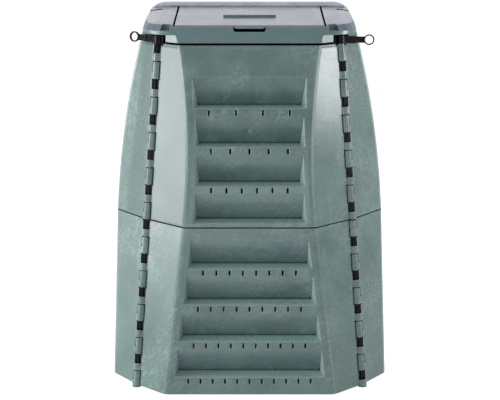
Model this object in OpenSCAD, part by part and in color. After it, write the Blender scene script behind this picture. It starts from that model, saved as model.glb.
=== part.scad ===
// Thermal composter: eight wall panels in two tiers, hinged together at the four
// corners by long rods, and a lid whose skirt carries a frame with a filling flap on each
// side of its ridge.
// Origin on the ground at the centre of the footprint, +Z up, front faces -Y.

/* [Body] */
// Width and depth over the centre facets, at the ground
base_w = 800; // [780:5:820]
// Width and depth over the centre facets, where the tiers meet
seam_w = 765; // [750:1:770]
// Width and depth over the centre facets, at the top of the walls
top_w = 609; // [604:1:612]
// Height of the walls
body_h = 977; // [972:1:984]
// Inward slope of an upper wall where it starts, in mm per mm
start_slope = 0.05; // [0.03:0.01:0.07]
// Angle between a centre facet and its bevel facets
bevel_angle = 40; // [38:0.5:41]
// Radius that rounds the edge between a centre facet and a bevel facet
edge_round = 34; // [10:1:40]
// Thickness of the wall sheet
wall_t = 5; // [4:0.5:6]
// Height of the shadow gap along the seam
seam_gap = 2; // [1:0.5:3]

/* [Corner hinges] */
// Distance of a rod's axis from both middle planes, at the ground
axis_low = 325; // [323:1:327]
// Distance of a rod's axis from both middle planes, at the top of the walls
axis_high = 250; // [248:1:252]
// How far a rod's axis lies inside the corner where two bevel facets meet
axis_inset = 3; // [2:0.5:4]
// Outer radius of a knuckle
knuckle_r = 13.2; // [13:0.1:14]
// Radius of the bore through a knuckle
bore_r = 10.55; // [10.52:0.01:10.6]
// Gap between knuckles
knuckle_gap = 2.4; // [1.6:0.2:3]
// Share of a knuckle's height that its window takes
window_share = 0.55; // [0.4:0.05:0.6]
// Width of a knuckle's window
window_w = 18.8; // [16:0.2:20]
// Gap between a knuckle and the neighbour's wall sheet
knuckle_clear = 4; // [3:0.5:5]
// How far the lowest knuckles reach below the wall sheets
foot_h = 6; // [3:1:8]

/* [Rods] */
// Radius over the four ribs of a rod
rod_r = 10.5; // [10.45:0.01:10.5]
// Thickness of a rod's ribs
rib_t = 3.8; // [3.4:0.2:5]
// Length of the grip from the rod's axis to the centre of its ring
grip_l = 77; // [70:1:80]
// Outer radius of the ring
ring_r = 14.5; // [14:0.5:16]
// Radius of the hole in the ring
ring_hole_r = 11; // [9:0.5:11.5]
// Height of the grip
grip_h = 20; // [16:1:21]
// Thickness of the grip
grip_t = 8; // [6:0.5:8]
// How much a grip droops from square to the rod, in degrees
grip_droop = 4.5; // [3:0.5:5]
// The same for the front left grip, which is bent up a little
left_droop = -1; // [-2:0.5:5]

/* [Louvre pockets] */
// Depth of a pocket at its ledge
pocket_depth = 50; // [40:1:51]
// Angle by which a pocket's cheeks close in towards its back
cheek_draft = 12; // [0:1:15]
// Thickness of a pocket's ledge and back
pocket_t = 3.5; // [3:0.5:4]
// Width of a vent slot
slot_w = 5.6; // [4:0.2:7]
// Height of a vent slot
slot_h = 15.5; // [12:0.5:17]

/* [Lid] */
// Height of the lid's lower edge above the ground
lid_low = 981; // [980:1:984]
// Height of the lid's rim over the rod grips
rim_low = 1004; // [1003:1:1006]
// How far the lid's skirt draws in on each side, from the top of the walls to the rim
skirt_draw = 8; // [6:0.2:11]
// Inward lean of the lid's sides above the rim, in mm per mm
side_lean = 0.22; // [0.1:0.01:0.26]
// Radius of the rim's corners, seen from above
rim_r = 102; // [96:1:106]
// Height at which the rim ends and the steep slopes over the corners begin
corner_z = 1014; // [1012:1:1018]
// Height of the lid's top surface beside the ridge
roof_high = 1058.3; // [1056:0.1:1060]
// Fall of the lid's top surface towards the front and rear, in mm per mm
roof_fall = 0.104; // [0.09:0.002:0.11]
// Height of the ridge's top
ridge_top = 1067; // [1065:0.5:1069]
// Width of a flap
flap_w = 406; // [400:2:408]
// Thickness of the lid's skin
lid_t = 4; // [3:0.5:5]
// Gap along each side of a flap
flap_fit = 4; // [2:0.2:5]

/* [Hidden] */
$fn = 96;
big = 1200;

wall_green = [0.43, 0.53, 0.51];
lid_green = [0.44, 0.53, 0.53];
rod_black = [0.07, 0.07, 0.08];

// Corner line, where the outer planes of two bevel facets meet
corner_low = axis_low + axis_inset / sqrt(2);
corner_high = axis_high + axis_inset / sqrt(2);
corner_lean = (corner_low - corner_high) / body_h;
function corner_at(z) = corner_low - corner_lean * z;

// Rod axis: it starts on the ground plane and leans inwards along the diagonal
axis_angle = atan(sqrt(2) * (axis_low - axis_high) / body_h);
axis_scale = 1 / cos(axis_angle);
knuckles = 20;
zone_h = body_h / knuckles;
function zone_top(k) = axis_scale * (body_h - zone_h * k);
rod_foot = 2;
rod_core_r = 4.2;

// Upper centre facet: an arc that starts at the seam with start_slope and ends at the top
seam_h = body_h / 2;
base_y = base_w / 2;
seam_y = seam_w / 2;
top_y = top_w / 2;
slope_a = atan(start_slope);
arc_rise = body_h - seam_h;
arc_run = seam_y - top_y;
arc_r = (arc_rise * arc_rise + arc_run * arc_run)
    / (2 * (arc_run * cos(slope_a) - arc_rise * sin(slope_a)));
arc_y = seam_y - arc_r * cos(slope_a);
arc_z = seam_h - arc_r * sin(slope_a);

// Distance of a centre facet from the middle plane, at height z
function facet_at(z) = z <= seam_h
    ? base_y + (seam_y - base_y) * z / seam_h
    : arc_y + sqrt(arc_r * arc_r - (z - arc_z) * (z - arc_z));

// Distance from the middle of the plane that touches the outline at angle a from the
// centre facet's normal, where the centre facet is at y and the corner at c
bevel_sum = sin(bevel_angle) + cos(bevel_angle);
function round_drop(a) = (a > 0 && a < bevel_angle)
    ? edge_round * (cos(a - bevel_angle / 2) / cos(bevel_angle / 2) - 1)
    : 0;
function touch(a, y, c) =
    (bevel_sum * sin(a) * c + sin(bevel_angle - a) * y) / sin(bevel_angle) - round_drop(a);

// Circle through three points [y, z], as [centre y, centre z, radius]
function circle_of(p, q, s) =
    let (
        d = 2 * (p[0] * (q[1] - s[1]) + q[0] * (s[1] - p[1]) + s[0] * (p[1] - q[1])),
        cy = (p * p * (q[1] - s[1]) + q * q * (s[1] - p[1]) + s * s * (p[1] - q[1])) / d,
        cz = (p * p * (s[0] - q[0]) + q * q * (p[0] - s[0]) + s * s * (q[0] - p[0])) / d
    ) [cy, cz, norm([p[0] - cy, p[1] - cz])];

// Point where two lines of a plan outline cross; a line lies at distance d from the middle
// and its normal is -Y turned by angle a towards +X
function crossing(a, d, b, e) =
    [(e * cos(a) - d * cos(b)) / sin(b - a), (e * sin(a) - d * sin(b)) / sin(b - a)];

// Pockets, from the top of a tier: [height of the top edge, height of the ledge, half width
// at the top, half width at the ledge, vent slots below it, half the span of the slots]
upper_pockets = [
    [896, 813, 156, 151, 4, 109],
    [790, 710, 148, 148, 5, 104],
    [686, 604, 147, 148, 6, 104],
    [583, 501, 148, 156, 0, 0]
];
lower_pockets = [
    [457, 373, 161, 172, 8, 128],
    [352, 269, 174, 184, 9, 143],
    [244, 162, 187, 199, 10, 156],
    [140, 57, 200, 211, 11, 172]
];
slot_drop = 4.6;

// Lap of a lower wall, behind the upper wall's sheet
lap_w = 440;
lap_h = 9;
lap_gap = 0.3;

// Step along the top edge of an upper wall
brim_h = 6;
brim_in = 1.5;

// Lid seat on the walls
seat_inset = 3;
spigot_inset = wall_t + 1.5;
spigot_t = 3.5;
spigot_low = body_h - 21;
spigot_clear = 33;
void_r = 31;
notch_r = 21;
notch_drop = 5;
hub_r = 12;
head_drop = knuckle_gap / 2;
head_low = zone_top(0) - head_drop + 0.02;
grip_low = 1.4;

// Lid: its sides stand at lid_y on the walls, at rim_y at the rim and at lid_front where
// they meet the top surface
lid_y = top_y;
lid_corner = corner_at(body_h);
rim_y = lid_y - skirt_draw;
function side_at(z) = rim_y - side_lean * (z - rim_low);
function roof_at(y) = roof_high - roof_fall * y;
lid_front = side_at(roof_high) / (1 - side_lean * roof_fall);

// Planes over the lid's shoulders and corners, as [heading from the front towards the side,
// rise per mm inwards, height over the middle]
shoulder_x = 250;
shoulder_fall = 0.15;
corner_rise = 1.2;
function corner_plane(a) =
    [a, corner_rise, corner_z + corner_rise * ((rim_y - rim_r) * (sin(a) + cos(a)) + rim_r)];
lid_planes = [
    [atan(shoulder_fall / roof_fall), norm([shoulder_fall, roof_fall]),
        roof_high + shoulder_fall * shoulder_x],
    corner_plane(38), corner_plane(54), corner_plane(70)
];

// Flap, its stub pins and its seat in the lid frame; flap_air is left under the flap where it
// lies on the seat, and mouth_back is the strip of seat along the lid's front
flap_air = 0.3;
mouth_back = 13;
flap_rear = 18;
flap_front = lid_front - 6;
flap_t = 7;
flap_skin = 4;
pin_y = 24;
pin_r = 3.2;
pin_clear = 0.05;
pin_reach = 18;
ledge_w = 11;
ledge_t = 3.5;
ridge_half = 15;
ridge_low = 1030;
ridge_end = 277;
ridge_reach = 306;
ridge_r = 65;
ridge_slope = [7, 9];
bar_w = 146;
bar_y = 163;
bar_h = 4.5;

// Finger notch in the frame's front edge, and the flap's tongue that hangs into it
notch_top_w = 94;
notch_low_w = 81;
notch_low = 1012.5;
notch_depth = 14;
tongue_top_w = 84;
tongue_low_w = 75;
tongue_low = 1020.5;
pin_z = roof_at(pin_y) - flap_t / 2;

// Everything behind one plane of a tier's outer surface. The plane's normal is -Y turned by
// angle a, and it leans as the wall does; in the upper tier it is bent to an arc
module behind(a, side, upper, inset) {
    z0 = upper ? seam_h : 0;
    z1 = upper ? body_h : seam_h;
    zm = (z0 + z1) / 2;
    low = -touch(a, facet_at(z0), corner_at(z0)) + inset;
    mid = -touch(a, facet_at(zm), corner_at(zm)) + inset;
    high = -touch(a, facet_at(z1), corner_at(z1)) + inset;
    rise = (high - low) / (z1 - z0);
    rotate([0, 0, side * a])
        if (abs(mid - (low + high) / 2) < 0.02)
            rotate([90, 0, 90])
                translate([0, 0, -big / 2])
                    linear_extrude(big)
                        polygon([
                            [low - rise * 50, z0 - 50], [high + rise * 50, z1 + 50],
                            [big, z1 + 50], [big, z0 - 50]
                        ]);
        else {
            arc = circle_of([low, z0], [mid, zm], [high, z1]);
            translate([-big / 2, arc[0], arc[1]])
                rotate([0, 90, 0])
                    cylinder(h = big, r = arc[2], $fn = 720);
        }
}

// Everything inside a tier's front outer surface between two heights
module wall_mass(upper, inset, z0, z1, steps) {
    intersection() {
        translate([-big / 2, -base_w, z0])
            cube([big, base_w, z1 - z0]);
        behind(0, 1, upper, inset);
        intersection_for(side = [-1, 1])
            intersection_for(i = [1 : steps])
                behind(bevel_angle * i / steps, side, upper, inset);
    }
}

// The front quarter of the plan, between the two diagonals
module quarter(gap) {
    translate([0, 0, -50])
        linear_extrude(big)
            polygon([[0, -gap], [-big, -big - gap], [big, -big - gap]]);
}

// Sheet of a wall; the outer face steps back along the seam and along the top edge
module sheet(upper) {
    z0 = upper ? seam_h : foot_h;
    z1 = upper ? body_h - brim_h : seam_h;
    difference() {
        union() {
            wall_mass(upper, 0, z0 + (upper ? seam_gap : 0), z1, 3);
            if (upper) {
                wall_mass(upper, wall_t / 2, z0, z1, 3);
                wall_mass(upper, brim_in, z1 - 1, body_h, 3);
            }
        }
        wall_mass(upper, wall_t, z0 - 1, body_h + 1, 2);
        if (upper)
            lap(0, 0);
    }
}

// Lap that stands up from a lower wall, behind the outer half of the upper wall's sheet
module lap(gap, sink) {
    intersection() {
        difference() {
            wall_mass(true, wall_t / 2 + gap, seam_h - sink, seam_h + lap_h - gap, 3);
            wall_mass(true, wall_t, seam_h - 2, seam_h + lap_h + 1, 2);
        }
        translate([-lap_w / 2 + gap, -big, 0])
            cube([lap_w - 2 * gap, big, big]);
    }
}

// Wedge that a louvre pocket takes out of the outer face, grown by a skin on its hidden sides
module pocket_wedge(pocket, skin) {
    z_top = pocket[0];
    z_low = pocket[1];
    y_top = -facet_at(z_top);
    y_low = -facet_at(z_low) + pocket_depth;
    run = (y_top - y_low) / (z_top - z_low);
    over = 12;
    x_mid = (pocket[2] + pocket[3]) / 2;
    y_mid = -facet_at((z_top + z_low) / 2);
    intersection() {
        rotate([90, 0, 90])
            translate([0, 0, -big / 2])
                linear_extrude(big)
                    polygon([
                        [y_low - run * skin + skin, z_low - skin],
                        [y_top + run * over + skin, z_top + over],
                        [-base_w, z_top + over],
                        [-base_w, z_low - skin]
                    ]);
        intersection_for(side = [-1, 1])
            translate([side * x_mid, y_mid, 0])
                rotate([90, 0, side * cheek_draft])
                    translate([0, 0, -big / 2])
                        linear_extrude(big)
                            polygon([
                                [side * (pocket[3] - x_mid + skin), z_low - skin],
                                [side * (pocket[2] - x_mid + skin), z_top + over],
                                [-side * big / 2, z_top + over], [-side * big / 2, z_low - skin]
                            ]);
    }
}

// Row of upright vent slots below a pocket's ledge
module vent_row(pocket) {
    count = pocket[4];
    z_mid = pocket[1] - slot_drop - slot_h / 2;
    y_mid = -facet_at(z_mid);
    flat_h = slot_h - slot_w;
    if (count > 0)
        for (i = [0 : count - 1])
            translate([pocket[5] * (2 * i / (count - 1) - 1), y_mid - 12, z_mid])
                rotate([-90, 0, 0])
                    linear_extrude(24)
                        union() {
                            square([slot_w, flat_h], center = true);
                            translate([0, flat_h / 2])
                                circle(d = slot_w, $fn = 24);
                            translate([0, -flat_h / 2])
                                circle(d = slot_w, $fn = 24);
                        }
}

// Places its children on a corner's rod axis, with +X pointing outwards along the diagonal
module on_axis(heading) {
    rotate([0, 0, heading])
        translate([axis_low * sqrt(2), 0, 0])
            rotate([0, -axis_angle, 0])
                children();
}

// Cylinder round a rod axis that covers zone k, counted from the top of the wall down
module zone(k, r, grow) {
    foot = k == knuckles - 1 ? foot_h : 0;
    translate([0, 0, zone_top(k + 1) - grow - foot])
        cylinder(h = axis_scale * zone_h + 2 * grow + foot, r = r);
}

// Opening in the front of a knuckle's upper part, down to its bore
module window(k, side) {
    h = zone_h * window_share;
    rotate([0, 0, -45 * side])
        translate([0, -window_w / 2, zone_top(k) - h])
            cube([knuckle_r + 2, window_w, h + 0.1]);
}

// Zones with a knuckle of one wall: the left edge has the first one, the right edge the next
function zones_of(side, first, count) =
    [for (k = [first : first + count - 1]) if (k % 2 == (side < 0 ? 0 : 1)) k];

// Front wall of one tier, with its knuckles on every other zone of both edges
module wall(upper) {
    half = knuckles / 2;
    first = upper ? 0 : half;
    z_low = upper ? seam_h : foot_h;
    z_high = upper ? body_h : seam_h;
    pockets = upper ? upper_pockets : lower_pockets;
    color(wall_green)
        difference() {
            union() {
                difference() {
                    intersection() {
                        union() {
                            sheet(upper);
                            if (!upper)
                                lap(lap_gap, 2);
                            intersection() {
                                wall_mass(upper, wall_t / 2, z_low, z_high, 1);
                                union()
                                    for (pocket = pockets)
                                        pocket_wedge(pocket, pocket_t);
                            }
                        }
                        quarter(1);
                    }
                    for (side = [-1, 1])
                        on_axis(270 + 45 * side) {
                            for (k = zones_of(-side, 0, knuckles))
                                zone(k, knuckle_r + knuckle_clear, knuckle_gap / 2 + 0.2);
                            translate([0, 0, zone_top(0) - head_drop - notch_drop])
                                cylinder(h = 60, r = notch_r);
                        }
                }
                intersection() {
                    translate([-big / 2, -big, 0])
                        cube([big, big, big]);
                    for (side = [-1, 1])
                        on_axis(270 + 45 * side)
                            for (k = zones_of(side, first, half))
                                zone(k, knuckle_r, -knuckle_gap / 2);
                }
            }
            for (pocket = pockets) {
                pocket_wedge(pocket, 0);
                vent_row(pocket);
            }
            for (side = [-1, 1])
                on_axis(270 + 45 * side) {
                    translate([0, 0, -20])
                        cylinder(h = body_h + 60, r = bore_r);
                    for (k = zones_of(side, first, half))
                        window(k, side);
                }
        }
}

// Rod with its ringed grip; turn is the grip's heading from the outward diagonal
module rod(heading, turn, droop = grip_droop) {
    neck_l = 42;
    shank = head_low + 4 - rod_foot;
    color(rod_black)
        on_axis(heading) {
            intersection() {
                translate([0, 0, rod_foot])
                    cylinder(h = shank, r = rod_r);
                translate([0, 0, rod_foot - 1])
                    union() {
                        for (a = [45, 135])
                            rotate([0, 0, a])
                                translate([-rod_r - 1, -rib_t / 2, 0])
                                    cube([2 * rod_r + 2, rib_t, shank + 2]);
                        cylinder(h = shank + 2, r = rod_core_r);
                    }
            }
            translate([0, 0, head_low])
                cylinder(h = grip_h + grip_low + 0.4, r = hub_r);
            rotate([0, 0, turn])
                translate([0, 0, head_low + grip_low])
                    rotate([0, droop, 0])
                        difference() {
                            union() {
                                translate([-17, -grip_t / 2, 0])
                                    cube([neck_l + 17, grip_t, grip_h]);
                                translate([neck_l - 1, -grip_t / 2 + 1, 1.5])
                                    cube([grip_l - neck_l - ring_hole_r, grip_t - 2, grip_h - 3]);
                                translate([grip_l, 0, grip_h / 2])
                                    rotate([90, 0, 0])
                                        cylinder(h = grip_t - 2, r = ring_r, center = true);
                            }
                            translate([grip_l, 0, grip_h / 2])
                                rotate([90, 0, 0])
                                    cylinder(h = grip_t + 2, r = ring_hole_r, center = true);
                            for (s = [-1, 1])
                                translate([hub_r + 1, s * grip_t / 2 - 2.4, 2.4])
                                    cube([neck_l - hub_r - 4, 4.8, grip_h - 4.8]);
                        }
        }
}

// Plan outline of the lid, as on the walls' top edge
touch_steps = 3;
function touch_line(i, inset, corner) =
    let (
        q = floor(i / (2 * touch_steps + 1)),
        j = i % (2 * touch_steps + 1),
        a = j <= touch_steps ? bevel_angle * j / touch_steps
            : 90 - bevel_angle * (2 * touch_steps + 1 - j) / touch_steps,
        b = j <= touch_steps ? a : 90 - a
    ) [a + 90 * q, touch(b, lid_y, corner) - inset];
function lid_outline(inset, corner) =
    [for (i = [0 : 4 * (2 * touch_steps + 1) - 1])
        let (p = touch_line(i, inset, corner), s = touch_line(i + 1, inset, corner))
            crossing(p[0], p[1], s[0], s[1])];

// Rim seen from above, with rounded corners
module rim_outline(inset) {
    square(2 * [rim_y - inset, rim_y - rim_r], center = true);
    square(2 * [rim_y - rim_r, rim_y - inset], center = true);
    for (sx = [-1, 1])
        for (sy = [-1, 1])
            translate([sx * (rim_y - rim_r), sy * (rim_y - rim_r)])
                circle(r = rim_r - inset);
}

// One side of the lid's outline seen along the other side, with a bevelled top edge; the
// points go up on the negative side and down on the positive one
function lid_side(inset, edge, bevel, s) =
    let (
        x = side_at(edge),
        points = [
            [lid_y, 900], [lid_y, body_h], [rim_y, rim_low], [x, edge - bevel],
            [x - bevel / 4, edge - bevel / 4], [x - bevel, edge]
        ]
    ) [for (i = [0 : 5])
        let (p = points[s < 0 ? i : 5 - i])
            [s * (p[0] - inset), p[1] - (p[1] > rim_low ? inset : 0)]];

// Everything below one of the lid's planes, in all four corners
module below_plane(plane, inset) {
    tilt = atan(plane[1]);
    intersection_for(heading = [90 - plane[0], 90 + plane[0], 270 - plane[0], 270 + plane[0]])
        rotate([0, 0, heading])
            rotate([0, tilt, 0])
                translate([-big, -big, cos(tilt) * plane[2] - inset - 2 * big])
                    cube(2 * big);
}

// Everything inside the lid's sides and below its highest line
module lid_sides(inset) {
    intersection() {
        rotate([90, 0, 90])
            translate([0, 0, -big / 2])
                linear_extrude(big)
                    polygon(concat(lid_side(inset, roof_at(lid_front), 5, -1),
                        [[0, roof_high - inset]], lid_side(inset, roof_at(lid_front), 5, 1)));
        rotate([90, 0, 0])
            translate([0, 0, -big / 2])
                linear_extrude(big)
                    polygon(concat(lid_side(inset, roof_high, 7, -1),
                        lid_side(inset, roof_high, 7, 1)));
    }
}

// Everything inside the lid frame's outer surface above z0
module lid_mass(inset, z0, rim) {
    intersection() {
        translate([0, 0, z0])
            linear_extrude(ridge_top)
                if (rim)
                    rim_outline(inset);
                else
                    polygon(lid_outline(inset, lid_corner));
        lid_sides(inset);
        intersection_for(plane = lid_planes)
            below_plane(plane, inset);
    }
}

// Body of the front flap, grown by a gap round it and by a height on top
module flap_mass(gap, over) {
    front = gap > 0 ? flap_front + 2 : flap_front;
    bevel = gap > 0 ? 0 : 4;
    under = gap > 0 ? flap_t + flap_air : flap_t;
    rotate([90, 0, 90])
        translate([0, 0, -flap_w / 2 - gap])
            linear_extrude(flap_w + 2 * gap)
                polygon([
                    [-flap_rear + gap, roof_at(flap_rear) + over],
                    [-front + bevel, roof_at(flap_front - 4) + over],
                    [-front, roof_at(flap_front) + over - 3],
                    [-front, roof_at(front) - under],
                    [-flap_rear + gap, roof_at(flap_rear - gap) - under]
                ]);
}

// Finger notch through the lid frame's front edge
module finger_notch(depth) {
    top = roof_at(lid_front);
    translate([0, -lid_front + depth, 0])
        rotate([90, 0, 0])
            linear_extrude(depth + 20)
                polygon([
                    [-notch_low_w / 2, notch_low], [-notch_top_w / 2, top],
                    [-notch_top_w / 2, top + 20], [notch_top_w / 2, top + 20],
                    [notch_top_w / 2, top], [notch_low_w / 2, notch_low]
                ]);
}

// Tongue on the flap's front edge that fingers lift it by
module tongue() {
    top = roof_at(flap_front) - 1.5;
    translate([0, -lid_front + 11, 0])
        rotate([90, 0, 0])
            linear_extrude(10)
                polygon([
                    [-tongue_low_w / 2, tongue_low], [-tongue_top_w / 2, top],
                    [tongue_top_w / 2, top], [tongue_low_w / 2, tongue_low]
                ]);
}

module flap() {
    inner_w = flap_w - 2 * 3;
    color(lid_green)
        union() {
            difference() {
                flap_mass(0, 0);
                rotate([90, 0, 90])
                    translate([0, 0, -inner_w / 2])
                        linear_extrude(inner_w)
                            polygon([
                                [-pin_y - pin_r - 4, roof_at(pin_y) - flap_skin],
                                [-flap_front + 12, roof_at(flap_front) - flap_skin],
                                [-flap_front + 12, 900],
                                [-pin_y - pin_r - 4, 900]
                            ]);
            }
            difference() {
                translate([-bar_w / 2, -bar_y - 7, roof_at(bar_y) - 3])
                    cube([bar_w, 14, bar_h + 3]);
                translate([-bar_w / 2 + 5, -bar_y - 4, roof_at(bar_y) + 1.2])
                    cube([bar_w - 10, 14, bar_h]);
            }
            tongue();
            for (s = [-1, 1])
                translate([s * (flap_w / 2 + pin_reach / 2 - 1), -pin_y, pin_z])
                    rotate([0, 90, 0])
                        cylinder(h = pin_reach + 2, r = pin_r, center = true);
        }
}

// Half of the lid frame's flap seat, for the front flap
module flap_seat() {
    outer = flap_w / 2 + flap_fit + ledge_t;
    rotate([90, 0, 90])
        translate([0, 0, -outer])
            linear_extrude(2 * outer)
                polygon([
                    [0, roof_high - flap_t - ledge_t], [0, roof_high],
                    [-lid_y, roof_at(lid_y) + 9], [-lid_y, roof_at(lid_y) - flap_t - ledge_t]
                ]);
    for (s = [-1, 1])
        translate([s * (flap_w / 2 + pin_reach / 2 + 3) - pin_reach / 2 - 4, -pin_y - 9, pin_z - 9])
            cube([pin_reach + 8, 18, 30]);
}

// What the front flap's movement takes out of the lid frame
module flap_space() {
    flap_mass(flap_fit, 20);
    translate([-flap_w / 2 + ledge_w, -lid_front + mouth_back, 900])
        cube([flap_w - 2 * ledge_w, lid_front - mouth_back - ridge_half - 1, 200]);
    translate([-flap_w / 2 - flap_fit, -pin_y - 11, pin_z - 34])
        cube([flap_w + 2 * flap_fit, pin_y + 11 - ridge_half - 1, 100]);
    for (s = [-1, 1])
        translate([s * (flap_w / 2 + pin_reach / 2), -pin_y, pin_z]) {
            translate([-pin_reach / 2 - 3, -7, 0.6])
                cube([pin_reach + 6, 14, 40]);
            rotate([0, 90, 0])
                cylinder(h = pin_reach + 4, r = pin_r + pin_clear, center = true);
            translate([-pin_reach / 2 - 2, -pin_r - pin_clear, 0])
                cube([pin_reach + 4, 2 * (pin_r + pin_clear), 40]);
        }
    finger_notch(notch_depth);
}

// Latch recess in a front corner of the lid's top edge, grown by a skin behind it
module latch_recess(side, skin) {
    translate([side * 229, -289, 1015 - skin])
        rotate([0, 0, side * 20])
            translate([-13 - skin, -14, 0])
                cube([26 + 2 * skin, 38 + skin, 60]);
}

// Slit in the lid's shoulder beside the ridge, slanted so that rain can't fall straight in
module shoulder_slit(side) {
    translate([side * 268, -62, roof_at(62) - 3])
        rotate([50, 0, 0])
            cube([37, 9, 24], center = true);
}

// Outline seen from the front, with rounded shoulders
module shoulders(half, top, r) {
    translate([-half, 0])
        square([2 * half, top - r]);
    translate([r - half, 0])
        square([2 * half - 2 * r, top]);
    for (s = [-1, 1])
        translate([s * (half - r), top - r])
            circle(r = r);
}

// Ridge bar that carries both flaps' rear edges, with sloping faces along its top
module ridge(inset) {
    reach = ridge_end - 2 * inset;
    side = ridge_half - inset;
    top = ridge_top - inset;
    intersection() {
        rotate([90, 0, 0])
            translate([0, 0, -side])
                linear_extrude(2 * side)
                    intersection() {
                        shoulders(ridge_reach - inset, top, ridge_r - inset);
                        translate([-reach, ridge_low])
                            square([2 * reach, 100]);
                    }
        rotate([90, 0, 90])
            translate([0, 0, -big / 2])
                linear_extrude(big)
                    polygon([
                        [-side, 900], [-side, top - ridge_slope[1]], [ridge_slope[0] - side, top],
                        [side - ridge_slope[0], top], [side, top - ridge_slope[1]], [side, 900]
                    ]);
    }
}

// Ring on the lid's plan outline, between two insets and two heights
module lid_ring(outer, inner, z0, z1) {
    translate([0, 0, z0])
        linear_extrude(z1 - z0)
            difference() {
                polygon(lid_outline(outer, lid_corner));
                polygon(lid_outline(inner, lid_corner));
            }
}

// Everything inside the skirt's outer surface between two heights
module skirt_mass(inset, z0, z1) {
    intersection() {
        translate([0, 0, z0])
            linear_extrude(z1 - z0)
                polygon(lid_outline(inset, lid_corner));
        lid_sides(inset);
    }
}

// Front quarter of the skirt that stands on the walls, with its spigot inside them
module skirt() {
    color(lid_green)
        difference() {
            intersection() {
                union() {
                    difference() {
                        skirt_mass(0, lid_low, rim_low);
                        skirt_mass(lid_t, lid_low - 1, rim_low + 1);
                    }
                    lid_ring(seat_inset, spigot_inset + spigot_t, body_h, lid_low + 3);
                    difference() {
                        lid_ring(spigot_inset, spigot_inset + spigot_t, spigot_low, body_h + 2);
                        for (side = [-1, 1])
                            on_axis(270 + 45 * side)
                                translate([0, 0, 900])
                                    cylinder(h = axis_scale * body_h - 900, r = spigot_clear);
                    }
                }
                quarter(0);
            }
            for (side = [-1, 1])
                on_axis(270 + 45 * side)
                    translate([0, 0, 900])
                        cylinder(h = 200, r = void_r);
        }
}

module lid_ridge() {
    color(lid_green)
        difference() {
            ridge(0);
            translate([0, 0, -0.01])
                ridge(lid_t);
        }
}

module lid_frame() {
    color(lid_green)
        difference() {
            union() {
                difference() {
                    lid_mass(0, rim_low, true);
                    lid_mass(lid_t, rim_low - 1, false);
                    lid_mass(lid_t, rim_low + lid_t, true);
                }
                intersection() {
                    lid_mass(0, rim_low, true);
                    for (turn = [0, 180])
                        rotate([0, 0, turn]) {
                            flap_seat();
                            for (side = [-1, 1])
                                latch_recess(side, 2.5);
                        }
                }
            }
            for (turn = [0, 180])
                rotate([0, 0, turn]) {
                    flap_space();
                    for (side = [-1, 1]) {
                        latch_recess(side, 0);
                        shoulder_slit(side);
                    }
                }
            ridge(0);
        }
}

wall(false);  // wall_lower_front
rotate([0, 0, 90]) wall(false);  // wall_lower_right
rotate([0, 0, 180]) wall(false);  // wall_lower_rear
rotate([0, 0, 270]) wall(false);  // wall_lower_left
wall(true);  // wall_upper_front
rotate([0, 0, 90]) wall(true);  // wall_upper_right
rotate([0, 0, 180]) wall(true);  // wall_upper_rear
rotate([0, 0, 270]) wall(true);  // wall_upper_left
rod(225, -72, left_droop);  // rod_front_left
rod(315, 37);  // rod_front_right
rod(135, -45);  // rod_rear_left
rod(45, 45);  // rod_rear_right
skirt();  // skirt_front
rotate([0, 0, 90]) skirt();  // skirt_right
rotate([0, 0, 180]) skirt();  // skirt_rear
rotate([0, 0, 270]) skirt();  // skirt_left
lid_frame();
lid_ridge();
flap();  // flap_front
rotate([0, 0, 180]) flap();  // flap_rear
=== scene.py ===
import math

import bpy
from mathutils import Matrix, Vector

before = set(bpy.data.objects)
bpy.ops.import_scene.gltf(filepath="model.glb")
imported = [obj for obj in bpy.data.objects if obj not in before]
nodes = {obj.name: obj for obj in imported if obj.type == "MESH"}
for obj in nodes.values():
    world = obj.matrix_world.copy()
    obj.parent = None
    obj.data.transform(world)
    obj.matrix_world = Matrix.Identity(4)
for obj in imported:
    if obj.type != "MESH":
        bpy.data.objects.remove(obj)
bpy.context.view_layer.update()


class Value:
    # a socket that does sums: an expression on values adds its Math nodes
    def __init__(self, graph, socket):
        self.graph = graph
        self.socket = socket

    def sum(self, operation, *others):
        return self.graph.node("ShaderNodeMath", {"operation": operation}, dict(enumerate((self, *others))))

    def sumFrom(self, operation, first):
        return self.graph.node("ShaderNodeMath", {"operation": operation}, {0: first, 1: self})

    def __add__(self, other):
        return self.sum("ADD", other)

    def __radd__(self, other):
        return self.sum("ADD", other)

    def __sub__(self, other):
        return self.sum("SUBTRACT", other)

    def __rsub__(self, other):
        return self.sumFrom("SUBTRACT", other)

    def __mul__(self, other):
        return self.sum("MULTIPLY", other)

    def __rmul__(self, other):
        return self.sum("MULTIPLY", other)

    def __truediv__(self, other):
        return self.sum("DIVIDE", other)

    def __rtruediv__(self, other):
        return self.sumFrom("DIVIDE", other)

    def __pow__(self, other):
        return self.sum("POWER", other)

    def __abs__(self):
        return self.sum("ABSOLUTE")

    def above(self, limit):
        return self.sum("GREATER_THAN", limit)

    def below(self, limit):
        return self.sum("LESS_THAN", limit)

    def atLeast(self, limit):
        return self.sum("MAXIMUM", limit)

    def atMost(self, limit):
        return self.sum("MINIMUM", limit)

    def span(self, low, high, start=0.0, end=1.0):
        # smooth step from start to end while the value goes from low to high
        sockets = {0: self, 1: low, 2: high, 3: start, 4: end}
        return self.graph.node("ShaderNodeMapRange", {"interpolation_type": "SMOOTHSTEP"}, sockets)


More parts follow.
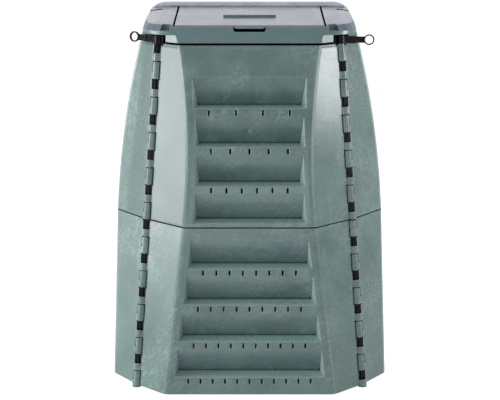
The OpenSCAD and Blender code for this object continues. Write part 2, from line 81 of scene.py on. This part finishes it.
class Graph:
    # a node tree; node() adds any node from its type, its settings and its sockets
    def __init__(self, tree):
        self.tree = tree

    def node(self, kind, settings=None, sockets=None, out=0):
        made = self.tree.nodes.new(kind)
        for key, value in (settings or {}).items():
            setattr(made, key, value)
        for key, value in (sockets or {}).items():
            self.feed(made.inputs[key], value)
        return Value(self, made.outputs[out])

    def feed(self, socket, value):
        if isinstance(value, Value):
            self.tree.links.new(value.socket, socket)
        elif isinstance(value, tuple) and socket.type == "RGBA":
            socket.default_value = (*value, 1)
        else:
            socket.default_value = value

    def axes(self, vector):
        split = self.node("ShaderNodeSeparateXYZ", None, {0: vector})
        return [Value(self, socket) for socket in split.socket.node.outputs]

    def mix(self, factor, first, second):
        return self.node("ShaderNodeMix", {"data_type": "RGBA"}, {0: factor, 6: first, 7: second}, out=2)

    def rays(self, first, *others):
        # 1 for rays of one of these kinds, otherwise 0
        outputs = self.node("ShaderNodeLightPath").socket.node.outputs
        seen = Value(self, outputs[first])
        for kind in others:
            seen = seen.atLeast(Value(self, outputs[kind]))
        return seen


edgeLook = {
    "bevelSamples": 6,
    "shadeSamples": 8,
    # how far an inward corner is felt, in edge radii
    "reach": 2.2,
    # how much a normal is turned on an outward edge, and how open such an edge lies
    "turned": (0.01, 0.16),
    "open": (0.8, 0.95),
    # how open an inward corner lies, from full painted shade to plain
    "closed": (0.3, 0.75, 1, 0),
}


class Finish(Graph):
    # one material made around a Principled shader
    def __init__(self, name):
        self.material = bpy.data.materials.new(name)
        self.material.use_nodes = True
        super().__init__(self.material.node_tree)
        self.shader = self.tree.nodes["Principled BSDF"]
        self.place = self.node("ShaderNodeTexCoord", out="Object")
        self.facing = self.node("ShaderNodeTexCoord", out="Normal")

    def noise(
        self, scale, detail=3.0, distortion=0.0, roughness=0.5,
        stretch=(1, 1, 1), turn=(0, 0, 0), shift=(0, 0, 0),
    ):
        moved = {"Vector": self.place, "Location": shift, "Rotation": turn, "Scale": stretch}
        at = self.node("ShaderNodeMapping", {"vector_type": "TEXTURE"}, moved)
        spots = {
            "Vector": at, "Scale": scale, "Detail": detail,
            "Roughness": roughness, "Distortion": distortion,
        }
        return self.node("ShaderNodeTexNoise", None, spots)

    def noises(self, table):
        return {name: self.noise(**values) for name, values in table.items()}

    def edges(self, radius, look=edgeLook):
        # normals rounded over sharp edges, a mask of the outward edges for painted highlights and one of the
        # inward corners for painted shade
        soft = self.node("ShaderNodeBevel", {"samples": look["bevelSamples"]}, {"Radius": radius})
        plain = self.node("ShaderNodeNewGeometry", out="Normal")
        alike = self.node(
            "ShaderNodeVectorMath", {"operation": "DOT_PRODUCT"}, {0: soft, 1: plain}, out="Value"
        )
        openness = self.node(
            "ShaderNodeAmbientOcclusion", {"samples": look["shadeSamples"]},
            {"Distance": radius * look["reach"]}, out="AO",
        )
        outward = (1 - alike).span(*look["turned"]) * openness.span(*look["open"])
        return soft, outward, openness.span(*look["closed"])

    def bump(self, height, soft):
        sockets = {"Strength": 1.0, "Distance": 1.0, "Height": height, "Normal": soft}
        return self.node("ShaderNodeBump", None, sockets)

    def mattShade(self, share, colour):
        # a share of the surface painted as matt dark shade, without any gloss, for gaps and deep corners
        matt = self.node("ShaderNodeBsdfDiffuse", None, {"Color": colour})
        glossy = Value(self, self.shader.outputs[0])
        both = self.node("ShaderNodeMixShader", None, {0: share, 1: glossy, 2: matt})
        self.feed(self.tree.nodes["Material Output"].inputs["Surface"], both)

    def finish(self, **sockets):
        for name, value in sockets.items():
            self.feed(self.shader.inputs[name.replace("_", " ")], value)
        return self.material


def linear(*levels):
    # a colour given as red, green and blue from 0 to 255, as the renderer's own numbers
    return tuple(((v / 255 + 0.055) / 1.055) ** 2.4 if v > 10 else v / 255 / 12.92 for v in levels)


wallLook = {
    "green": linear(107, 134, 130),
    "shade": linear(84, 110, 106),
    "downReflection": linear(150, 160, 172),
    "bloomAndReflection": linear(172, 190, 190),
    "leftShade": linear(74, 100, 97),
    "edge": linear(206, 216, 222),
    "creviceShade": linear(30, 42, 40),
    "inside": linear(36, 46, 44),
    "litCheek": linear(176, 194, 194),
    "upwardLight": linear(174, 204, 197),
    "specular": 0.45,
    "edgeRadius": 0.0055,
    # noise patterns; the scale is per metre and the stretch lengthens spots along x, y and z
    "noises": {
        "clouds": {"scale": 5.5, "detail": 4, "distortion": 1.2},
        "streaks": {"scale": 9, "distortion": 0.6, "stretch": (0.35, 0.35, 2.6)},
        "wisps": {
            "scale": 7, "detail": 5, "distortion": 2.2, "roughness": 0.55, "shift": (0.3, 0.1, 0.2),
        },
        "wispPlaces": {"scale": 3.2, "detail": 2, "shift": (1.7, 0.4, 0.9)},
        "hatch": {
            "scale": 60, "detail": 2, "distortion": 0.3, "stretch": (1, 1, 0.22), "turn": (0.3, 0.5, 0.2),
        },
        "brush": {
            "scale": 34, "detail": 4, "distortion": 0.5, "roughness": 0.6,
            "stretch": (0.5, 0.5, 2.4), "turn": (0, 0.7, 0),
        },
        "fineBrush": {
            "scale": 78, "distortion": 0.3, "roughness": 0.6,
            "stretch": (0.45, 0.45, 2.2), "turn": (0.2, 0.85, 0),
        },
        "brushPlaces": {"scale": 4.5, "distortion": 0.8, "shift": (0.6, 0.1, 0.7)},
        "swirls": {
            "scale": 20, "detail": 4, "distortion": 2.2, "roughness": 0.6, "shift": (0.9, 0.2, 0.5),
        },
        "grain": {"scale": 700, "detail": 2},
        "waves": {"scale": 11, "detail": 2, "distortion": 0.5, "shift": (0.2, 0.8, 0.1)},
    },
    # thin lines are drawn where a noise is near its middle value; a higher number makes them thinner
    "thinness": {"wisps": 6, "swirls": 7},
    # where each mark starts and where it is full, then its strength at both ends if not 0 and 1
    "spans": {
        "clouds": (0.35, 0.68),
        "streaks": (0.52, 0.75),
        "wisps": (0.1, 1),
        "wispPlaces": (0.48, 0.66),
        "hatch": (0.5, 0.8),
        "brush": (0.5, 0.72),
        "fineBrush": (0.48, 0.62),
        "brushPlaces": (0.42, 0.62),
        # 0 on a corner's line and 1 in the middle of a wall
        "middle": (0.25, 0.5, 1, 0.35),
        "swirls": (0.0, 1),
        "scuff": (0.1, 1.3),
        "gate": (0.75, 1.0, 1, 0),
        # distance of the front's faces from the middle of the bin
        "front": (0.2, 0.22),
        # faces that look down, up to this height, get a painted pale reflection
        "downReflectionFacing": (0.25, 0.45),
        "downReflectionHeight": (0.56, 0.64, 1, 0),
        # faces that look up; the first span paints them paler as painted light from above
        "upwardLight": (0.75, 0.95),
        "ledge": (0.6, 0.9),
        "sideways": (0.6, 0.8),
        # a face's heading away from its own side, as a tangent
        # the painted shade on the upper face to the left of the front's centre panel
        "leftShadeHeading": (0.2, 0.4),
        "leftShadeHeight": (0.488, 0.49),
        "leftShadeSide": (0.08, 0.12),
        "lineStart": (0.34, 0.44),
        "lineEnd": (0.54, 0.70, 1, 0),
        # the painted highlight line's strength at the seam and at the top
        "lineHeight": (0.48, 0.95, 0.12, 0.62),
    },
    # share of each mark in the colour
    "shares": {
        "clouds": 0.75,
        "streaks": 0.08,
        "wisps": 0.14,
        "hatch": 0.12,
        "coarseBrush": 0.5,
        "fineBrush": 0.8,
        "brush": 0.3,
        "swirls": 0.62,
        "mostPale": 0.75,
        "gate": 0.25,
        "downReflection": 0.14,
        "upwardLight": 0.9,
        "leftShade": 0.75,
        "creviceShade": 0.65,
        "openLedge": 0.8,
        "litCheek": 0.85,
        "edge": 0.36,
        "dullCrevice": 0.3,
        "mostDull": 0.95,
    },
    # keeps the divisor of a heading above 0
    "tiny": 0.01,
    # the painted highlight line's least strength and how much the streaks add
    "lineStreaks": (0.6, 0.8),
    "roughness": {"plain": 0.27, "pale": 0.15, "clouds": 0.12, "edge": 0.08},
    # heights in metres
    "bumps": {"grain": 0.00003, "hatch": 0.00012, "waves": 0.0006, "gate": 0.0006},
    # a face is an inside one if it looks this far towards the bin's middle line
    "innerFrom": -0.02,
    # painted shadow in the joint between the tiers: height and half its width
    "seam": (0.4885, 0.0016),
    # half width of a pocket: least, then height, growth per metre down and half width in the lower tier
    "pocketSpan": (0.148, 0.457, 0.125, 0.161),
    # a cheek's faces lie this far inside and outside of that half width
    "cheekSpan": (0.022, 0.01),
    # pale scuffs on the front panel: x, z, width, height, turn in degrees, strength
    "scuffs": [
        (-0.028, 0.900, 0.060, 0.075, 10, 0.55),
        (-0.060, 0.846, 0.030, 0.080, -8, 0.35),
        (0.030, 0.850, 0.040, 0.100, 12, 0.30),
        (-0.085, 0.795, 0.070, 0.030, 22, 0.60),
        (0.085, 0.790, 0.060, 0.040, -25, 0.50),
        (0.010, 0.800, 0.120, 0.020, 3, 0.40),
        (-0.100, 0.720, 0.045, 0.045, 40, 0.35),
        (-0.030, 0.708, 0.100, 0.022, 6, 0.50),
        (-0.040, 0.660, 0.070, 0.040, 30, 0.25),
    ],
    # round mark left by the moulding gate in the second pocket: x, z, radius
    "gate": (0.001, 0.748, 0.0075),
}


def thinLines(noise, thinness):
    return 1 - abs(noise * 2 - 1) * thinness


def wallMarks(noises, look, x, y):
    # wisps, brush strokes, hatching and streaks; strokes are strongest on the faces beside the corners
    spans, shares = look["spans"], look["shares"]
    wisps = thinLines(noises["wisps"], look["thinness"]["wisps"]).span(*spans["wisps"])
    wisps = wisps * noises["wispPlaces"].span(*spans["wispPlaces"])
    coarse = noises["brush"].span(*spans["brush"]) * shares["coarseBrush"]
    fine = noises["fineBrush"].span(*spans["fineBrush"]) * shares["fineBrush"]
    brush = (coarse + fine) * noises["brushPlaces"].span(*spans["brushPlaces"])
    fromCorner = abs(abs(x) - abs(y)) / (abs(x) + abs(y))
    brush = brush * fromCorner.span(*spans["middle"]) * shares["brush"]
    hatch = noises["hatch"].span(*spans["hatch"]) * shares["hatch"]
    streaks = noises["streaks"].span(*spans["streaks"]) * shares["streaks"]
    return wisps * shares["wisps"] + brush + hatch + streaks


def wallScuffs(noises, look, x, z):
    # each scuff is an oval broken up by swirling lines
    swirls = thinLines(noises["swirls"], look["thinness"]["swirls"]).span(*look["spans"]["swirls"])
    scuffs = 0
    for markX, markZ, width, height, turn, strength in look["scuffs"]:
        c, s = math.cos(math.radians(turn)), math.sin(math.radians(turn))
        u = ((x - markX) * c + (z - markZ) * s) / (width / 2)
        v = ((z - markZ) * c - (x - markX) * s) / (height / 2)
        scuffs = (u * u + v * v).span(*look["spans"]["scuff"], strength, 0) + scuffs
    return scuffs * swirls * look["shares"]["swirls"]


def wallFinish(name, look):
    f = Finish(name)
    spans, shares = look["spans"], look["shares"]
    x, y, z = f.axes(f.place)
    noises = f.noises(look["noises"])
    front = (0 - y).span(*spans["front"])
    pale = wallMarks(noises, look, x, y) + wallScuffs(noises, look, x, z) * front
    pale = pale.atMost(shares["mostPale"])

    gateX, gateZ, gateRadius = look["gate"]
    far = ((x - gateX) ** 2 + (z - gateZ) ** 2) ** 0.5 / gateRadius
    gate = far.span(*spans["gate"]) * front

    clouds = noises["clouds"]
    colour = f.mix(clouds.span(*spans["clouds"]) * shares["clouds"], look["green"], look["shade"])
    colour = f.mix(pale, colour, look["bloomAndReflection"])
    colour = f.mix(gate * shares["gate"], colour, look["bloomAndReflection"])

    across, along, rise = f.axes(f.facing)
    facesY = (abs(y) - abs(x)).above(0)
    # faces inside the bin are painted dark as shade
    shadedInner = (x * across * (1 - facesY) + y * along * facesY).below(look["innerFrom"])
    colour = f.mix(shadedInner, colour, look["inside"])
    # faces that look down low on the walls get a painted pale reflection
    downReflection = (0 - rise).span(*spans["downReflectionFacing"]) * z.span(*spans["downReflectionHeight"])
    colour = f.mix(downReflection * shares["downReflection"], colour, look["downReflection"])
    # faces that look up are painted paler as painted light from above
    colour = f.mix(rise.span(*spans["upwardLight"]) * shares["upwardLight"], colour, look["upwardLight"])

    # the pockets' cheeks get a painted highlight: faces turned sideways at the pockets' ends are painted paler
    across, along = abs(across), abs(along)
    sideways = along + (across - along) * facesY
    least, lowerHigh, growth, lowerHalf = look["pocketSpan"]
    pocketHalf = ((lowerHigh - z) * growth + lowerHalf).atLeast(least)
    aside = abs(x).atMost(abs(y)) - pocketHalf
    inside, outside = look["cheekSpan"]
    litCheek = sideways.span(*spans["sideways"]) * aside.above(-inside) * aside.below(outside)

    # the upper face to the left of the front's centre panel gets painted shade, and a painted highlight line
    # runs along the rounded edges of every centre panel
    heading = across.atMost(along) / (across.atLeast(along) + look["tiny"])
    leftShade = heading.span(*spans["leftShadeHeading"]) * z.span(*spans["leftShadeHeight"])
    leftShade = leftShade * (0 - x).span(*spans["leftShadeSide"]) * front
    colour = f.mix(leftShade * shares["leftShade"], colour, look["leftShade"])
    highlightLine = heading.span(*spans["lineStart"]) * heading.span(*spans["lineEnd"])
    plainLine, streakedLine = look["lineStreaks"]
    highlightLine = highlightLine * z.span(*spans["lineHeight"]) * (plainLine + noises["streaks"] * streakedLine)
    colour = f.mix(highlightLine.atMost(1), colour, look["edge"])

    # inward corners are painted dark as shade, less so on ledges and cheeks
    soft, edge, creviceShade = f.edges(look["edgeRadius"])
    creviceShade = creviceShade * (1 - rise.span(*spans["ledge"]) * shares["openLedge"]) * (1 - litCheek)
    colour = f.mix(creviceShade * shares["creviceShade"], colour, look["creviceShade"])
    colour = f.mix(litCheek * shares["litCheek"], colour, look["litCheek"])
    # outward edges get a painted highlight
    colour = f.mix(edge * shares["edge"], colour, look["edge"])
    # the joint between the tiers, the inside faces and part of the inward corners get matt painted shade
    seamHeight, seamHalf = look["seam"]
    seam = abs(z - seamHeight).below(seamHalf)
    f.mattShade((seam + shadedInner + creviceShade * shares["dullCrevice"]).atMost(shares["mostDull"]), look["creviceShade"])

    rough = look["roughness"]
    roughness = rough["plain"] + pale * rough["pale"] + (clouds - 0.5) * rough["clouds"] - edge * rough["edge"]
    bumps = look["bumps"]
    height = noises["grain"] * bumps["grain"] + noises["hatch"] * bumps["hatch"]
    height = height + noises["waves"] * bumps["waves"] - gate * bumps["gate"]
    return f.finish(
        Base_Color=colour, Roughness=roughness, Specular_IOR_Level=look["specular"],
        Normal=f.bump(height, soft),
    )


lidLook = {
    "green": linear(98, 126, 128),
    "shade": linear(88, 114, 116),
    "top": linear(84, 95, 110),
    "bloomAndReflection": linear(140, 148, 164),
    "gap": linear(9, 11, 12),
    "edgeRadius": 0.003,
    "bevelSamples": 4,
    "noises": {
        "clouds": {"scale": 7, "detail": 4, "distortion": 1.0, "shift": (0.5, 0.3, 0.0)},
        "brush": {
            "scale": 30, "detail": 4, "distortion": 1.2, "roughness": 0.6,
            "stretch": (2.0, 0.6, 1), "turn": (0, 0, 0.35),
        },
        "grain": {"scale": 700, "detail": 2},
        "waves": {"scale": 9, "detail": 2},
    },
    # a face this far towards level, as its normal's z, starts and ends the change to the painted reflection
    # colour of the top
    "level": (0.35, 0.62),
    "spans": {"clouds": (0.35, 0.68), "bloomAndReflection": (0.4, 0.7), "skirtJoint": (0.002, 0.0045)},
    "shares": {"clouds": 0.6, "bloomAndReflection": 0.45},
    "roughness": {"plain": 0.29, "clouds": 0.2, "brush": 0.15},
    "bumps": {"grain": 0.00003, "brush": 0.0001, "waves": 0.0006},
    # painted shadow at the joint at the seat on the walls: its highest z and its height; then the skirt's
    # upper edge
    "seat": (0.9832, 0.008),
    "skirtTop": 1.004,
    # top surface: height in the middle, fall per metre to front and side, half width of the level part
    "roof": (1.0583, 0.104, 0.15, 0.25),
    # painted shadow in the gaps beside the flaps, at their pins and in the shoulders: |x| from, to, |y| from,
    # to, and the depth below the top surface at which the painted shadow starts
    "gaps": [
        (0.2022, 0.2078, 0.018, 0.2885, -0.001),
        (0.2026, 0.2275, 0.0165, 0.0315, 0.0012),
        (0.2485, 0.2875, 0.04, 0.09, 0.0012),
    ],
}


def within(value, low, high):
    return abs(value - (low + high) / 2).below((high - low) / 2)


def lidFinish(name, look):
    f = Finish(name)
    spans, shares = look["spans"], look["shares"]
    x, y, z = f.axes(f.place)
    across, along = abs(x), abs(y)
    noises = f.noises(look["noises"])
    clouds, brush = noises["clouds"], noises["brush"]
    base = f.mix(clouds.span(*spans["clouds"]) * shares["clouds"], look["green"], look["shade"])
    # faces that look up get a painted reflection colour, mottled into paler patches
    bloomAndReflection = (brush * 0.5 + clouds * 0.5).span(*spans["bloomAndReflection"]) * shares["bloomAndReflection"]
    top = f.mix(bloomAndReflection, look["top"], look["bloomAndReflection"])
    colour = f.mix(f.axes(f.facing)[2].span(*look["level"]), base, top)

    roofHigh, fall, sideFall, levelHalf = look["roof"]
    depth = roofHigh - along * fall - (across - levelHalf).atLeast(0) * sideFall - z
    # the seat joint and the gaps are painted near black and matt as shadow
    seatTop, seatHeight = look["seat"]
    dark = z.below(seatTop) * z.above(seatTop - seatHeight)
    for x0, x1, y0, y1, start in look["gaps"]:
        dark = dark + within(across, x0, x1) * within(along, y0, y1) * depth.above(start)
    dark = dark.atMost(1)
    colour = f.mix(dark, colour, look["gap"])
    f.mattShade(dark, look["gap"])

    # the rounded edges leave out the joint between skirt and frame, which lies flush
    radius = abs(z - look["skirtTop"]).span(*spans["skirtJoint"]) * look["edgeRadius"]
    soft = f.node("ShaderNodeBevel", {"samples": look["bevelSamples"]}, {"Radius": radius})
    rough = look["roughness"]
    roughness = rough["plain"] + (clouds - 0.5) * rough["clouds"] + (brush - 0.5) * rough["brush"]
    bumps = look["bumps"]
    height = noises["grain"] * bumps["grain"] + brush * bumps["brush"] + noises["waves"] * bumps["waves"]
    return f.finish(Base_Color=colour, Roughness=roughness, Normal=f.bump(height, soft))


# the ridge is rounder than the rest of the lid, and its painted reflection colour reaches down to its lower
# edge
ridgeLook = {
    **lidLook,
    "edgeRadius": 0.009,
    "level": (-0.6, -0.2),
    "top": linear(186, 192, 204),
    "bloomAndReflection": linear(236, 239, 246),
}

rodLook = {
    "black": linear(3, 3, 4),
    "wornAndReflection": linear(26, 28, 31),
    "edge": linear(130, 132, 138),
    "specular": 0.14,
    "edgeRadius": 0.0012,
    "noises": {
        "rub": {"scale": 45, "detail": 4, "distortion": 0.8},
        "grain": {"scale": 600, "detail": 2},
    },
    # rub marks, and faces that look up, which get a painted reflection
    "spans": {"rub": (0.5, 0.8), "up": (0.6, 0.95)},
    "shares": {"rub": 0.6, "up": 0.5, "edge": 0.35},
    "roughness": {"plain": 0.2, "rub": 0.25},
    "bumps": {"grain": 0.00002},
}


def rodFinish(name, look):
    f = Finish(name)
    spans, shares = look["spans"], look["shares"]
    noises = f.noises(look["noises"])
    # faces that look up get a painted reflection, which shares one colour with the real rub marks
    up = f.axes(f.facing)[2].span(*spans["up"]) * shares["up"]
    rub = (noises["rub"].span(*spans["rub"]) * shares["rub"] + up).atMost(1)
    soft, edge = f.edges(look["edgeRadius"])[:2]
    colour = f.mix(rub, look["black"], look["wornAndReflection"])
    # outward edges get a painted highlight
    colour = f.mix(edge * shares["edge"], colour, look["edge"])
    return f.finish(
        Base_Color=colour,
        Roughness=look["roughness"]["plain"] + rub * look["roughness"]["rub"],
        Specular_IOR_Level=look["specular"],
        Normal=f.bump(noises["grain"] * look["bumps"]["grain"], soft),
    )


finishes = {
    "wall": wallFinish("wallPlastic", wallLook),
    "lid": lidFinish("lidPlastic", lidLook),
    "ridge": lidFinish("ridgePlastic", ridgeLook),
    "rod": rodFinish("rodPlastic", rodLook),
}
for name, piece in nodes.items():
    first, last = name.split("_")[0], name.split("_")[-1]
    kind = "ridge" if last == "ridge" else {"skirt": "lid", "flap": "lid"}.get(first, first)
    for place in piece.material_slots:
        place.material = finishes[kind]
print("finishes:", ", ".join(finishes))


stageLook = {
    "floorSize": 60,
    "floor": (0.86, 0.86, 0.87),
    "floorRoughness": 0.9,
    "floorSpecular": 0.1,
    "floorGlow": 0.92,
    # ground under the bin, which the glow leaves out: half width, and the same over the corners
    "covered": (0.37, 0.41),
    "worldLight": (0.95, 0.97, 1.0),
    "worldStrength": 0.15,
    # softboxes: name, place, aim, width, height, watts
    "softboxes": [
        ("leftBox", (-3.3, -0.7, 0.75), (0, 0, 0.45), 1.8, 1.8, 96),
        ("leftStrip", (-2.2, -2.4, 2.2), (0, -0.3, 0.2), 0.5, 0.5, 8),
        ("rightStrip", (1.9, -2.7, 2.1), (0, -0.3, 0.9), 0.15, 1.0, 3),
        ("rightBox", (1.5, -0.42, 0.95), (0.25, -0.3, 0.92), 0.32, 0.36, 8),
        ("frontBox", (0, -3.0, 3.3), (0, -0.3, 0.6), 2.2, 1.0, 17),
        ("lowBox", (0, -3.7, 0.45), (0, -0.3, 0.7), 2.0, 0.5, 10),
        ("topBox", (0, 0.4, 3.4), (0, 0, 0.9), 2.2, 1.6, 20),
        ("backBox", (0, 4.2, 2.3), (0, 0, 1.05), 3.2, 0.8, 10),
    ],
}


def makeFloor(look):
    half = look["floorSize"] / 2
    corners = [(-half, -half, 0), (half, -half, 0), (half, half, 0), (-half, half, 0)]
    mesh = bpy.data.meshes.new("floor")
    mesh.from_pydata(corners, [], [(0, 1, 2, 3)])
    floor = bpy.data.objects.new("floor", mesh)
    bpy.context.scene.collection.objects.link(floor)
    f = Finish("paleFloor")
    f.finish(
        Base_Color=look["floor"], Roughness=look["floorRoughness"], Specular_IOR_Level=look["floorSpecular"]
    )
    seen = f.rays("Is Camera Ray", "Is Glossy Ray", "Is Transmission Ray")
    x, y, z = f.axes(f.place)
    side, corner = look["covered"]
    across, along = abs(x), abs(y)
    clear = across.atLeast(along).above(side)
    clear = clear.atLeast(((across + along) * math.sqrt(0.5)).above(corner))
    glow = {"Color": (1.0, 1.0, 1.0), "Strength": seen * clear * look["floorGlow"]}
    glow = f.node("ShaderNodeEmission", None, glow)
    both = f.node("ShaderNodeAddShader", None, {0: Value(f, f.shader.outputs[0]), 1: glow})
    f.feed(f.tree.nodes["Material Output"].inputs["Surface"], both)
    mesh.materials.append(f.material)


def makeWorld(look):
    world = bpy.data.worlds.new("studio")
    bpy.context.scene.world = world
    world.use_nodes = True
    g = Graph(world.node_tree)
    background = g.tree.nodes["Background"]
    seen = g.rays("Is Camera Ray", "Is Glossy Ray")
    # white where it is seen, dim as a light
    strength = g.node("ShaderNodeMapRange", None, {0: seen, 3: look["worldStrength"], 4: 1.0})
    g.feed(background.inputs["Strength"], strength)
    g.feed(background.inputs["Color"], look["worldLight"])


def makeSoftbox(name, place, target, width, height, watts):
    light = bpy.data.lights.new(name, "AREA")
    light.shape = "RECTANGLE"
    light.size = width
    light.size_y = height
    light.energy = watts
    box = bpy.data.objects.new(name, light)
    bpy.context.scene.collection.objects.link(box)
    box.location = place
    box.visible_camera = False
    box.rotation_euler = (Vector(target) - Vector(place)).to_track_quat("-Z", "Y").to_euler()


cameraLook = {
    "place": (0, -3.5181, 1.3837),
    "pitch": 14.5824,
    "focalPixels": 1193.16,
    "imageWidth": 500,
    "sensorWidth": 36,
    "shift": (0.001, 0),
    "farthest": 200,
}


def makeCamera(look):
    data = bpy.data.cameras.new("photoCamera")
    data.sensor_width = look["sensorWidth"]
    data.lens = look["focalPixels"] / look["imageWidth"] * look["sensorWidth"]
    data.shift_x, data.shift_y = look["shift"]
    data.clip_end = look["farthest"]
    camera = bpy.data.objects.new("photoCamera", data)
    bpy.context.scene.collection.objects.link(camera)
    camera.location = look["place"]
    camera.rotation_euler = (math.radians(90 - look["pitch"]), 0, 0)
    bpy.context.scene.camera = camera


makeFloor(stageLook)
makeWorld(stageLook)
for softbox in stageLook["softboxes"]:
    makeSoftbox(*softbox)
makeCamera(cameraLook)
bpy.context.scene.view_settings.view_transform = "Standard"
print("studio: floor, world,", len(stageLook["softboxes"]), "softboxes, camera")
